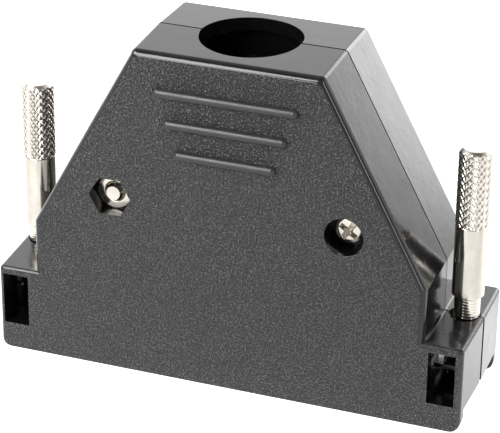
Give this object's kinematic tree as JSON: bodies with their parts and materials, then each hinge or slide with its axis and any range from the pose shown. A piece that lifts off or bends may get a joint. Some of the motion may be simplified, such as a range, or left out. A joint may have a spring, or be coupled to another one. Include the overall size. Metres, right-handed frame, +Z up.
{
  "type": "d-sub hood",
  "caption": "Two-shell plastic hood for a D-subminiature connector, straight cable exit, knurled captive jackscrews, screwed shells and an inner cable clamp.",
  "frame": {"origin": "centre of the open connector side, at the bottom edges of the front and rear panels, on the parting plane of the two shells", "axes": "+X across the two jackscrews to the right as seen from the front, +Y from the front face to the rear face, +Z up from the connector side to the cable exit"},
  "size_m": [0.0658, 0.0202, 0.0473],
  "materials": {
    "black_plastic": "moulded black plastic, fine grain on the two large faces, glossy edges and sides",
    "nickel_screw": "bright nickel plating, diamond knurl on the head",
    "nickel_small": "bright nickel plating",
    "spring_steel": "bright spring steel",
    "clamp_steel": "zinc plated sheet"
  },
  "bodies": {
    "hood": {"front_shell": "black_plastic", "rear_shell": "black_plastic", "case_screw_front": "nickel_small", "case_screw_rear": "nickel_small", "case_nut_front": "nickel_small", "case_nut_rear": "nickel_small", "clamp_saddle_front": "clamp_steel", "clamp_saddle_rear": "clamp_steel", "clamp_screw_left": "nickel_small", "clamp_screw_right": "nickel_small", "clamp_nut_left": "nickel_small", "clamp_nut_right": "nickel_small"},
    "left_clip": {"clip_left": "spring_steel"},
    "left_screw": {"jackscrew_left": "nickel_screw"},
    "right_clip": {"clip_right": "spring_steel"},
    "right_screw": {"jackscrew_right": "nickel_screw"}
  },
  "joints": [
    {"name": "left_slide", "type": "slide", "parent": "hood", "child": "left_clip", "axis": [0, 0, 1], "range_m": [-0.0013, 0.0035]},
    {"name": "left_turn", "type": "hinge", "parent": "left_clip", "child": "left_screw", "pos_m": [-0.03055, 0, 0.0151], "axis": [0, 0, 1], "continuous": true},
    {"name": "right_slide", "type": "slide", "parent": "hood", "child": "right_clip", "axis": [0, 0, 1], "range_m": [-0.0018, 0.003]},
    {"name": "right_turn", "type": "hinge", "parent": "right_clip", "child": "right_screw", "pos_m": [0.03055, 0, 0.0156], "axis": [0, 0, 1], "continuous": true}
  ]
}
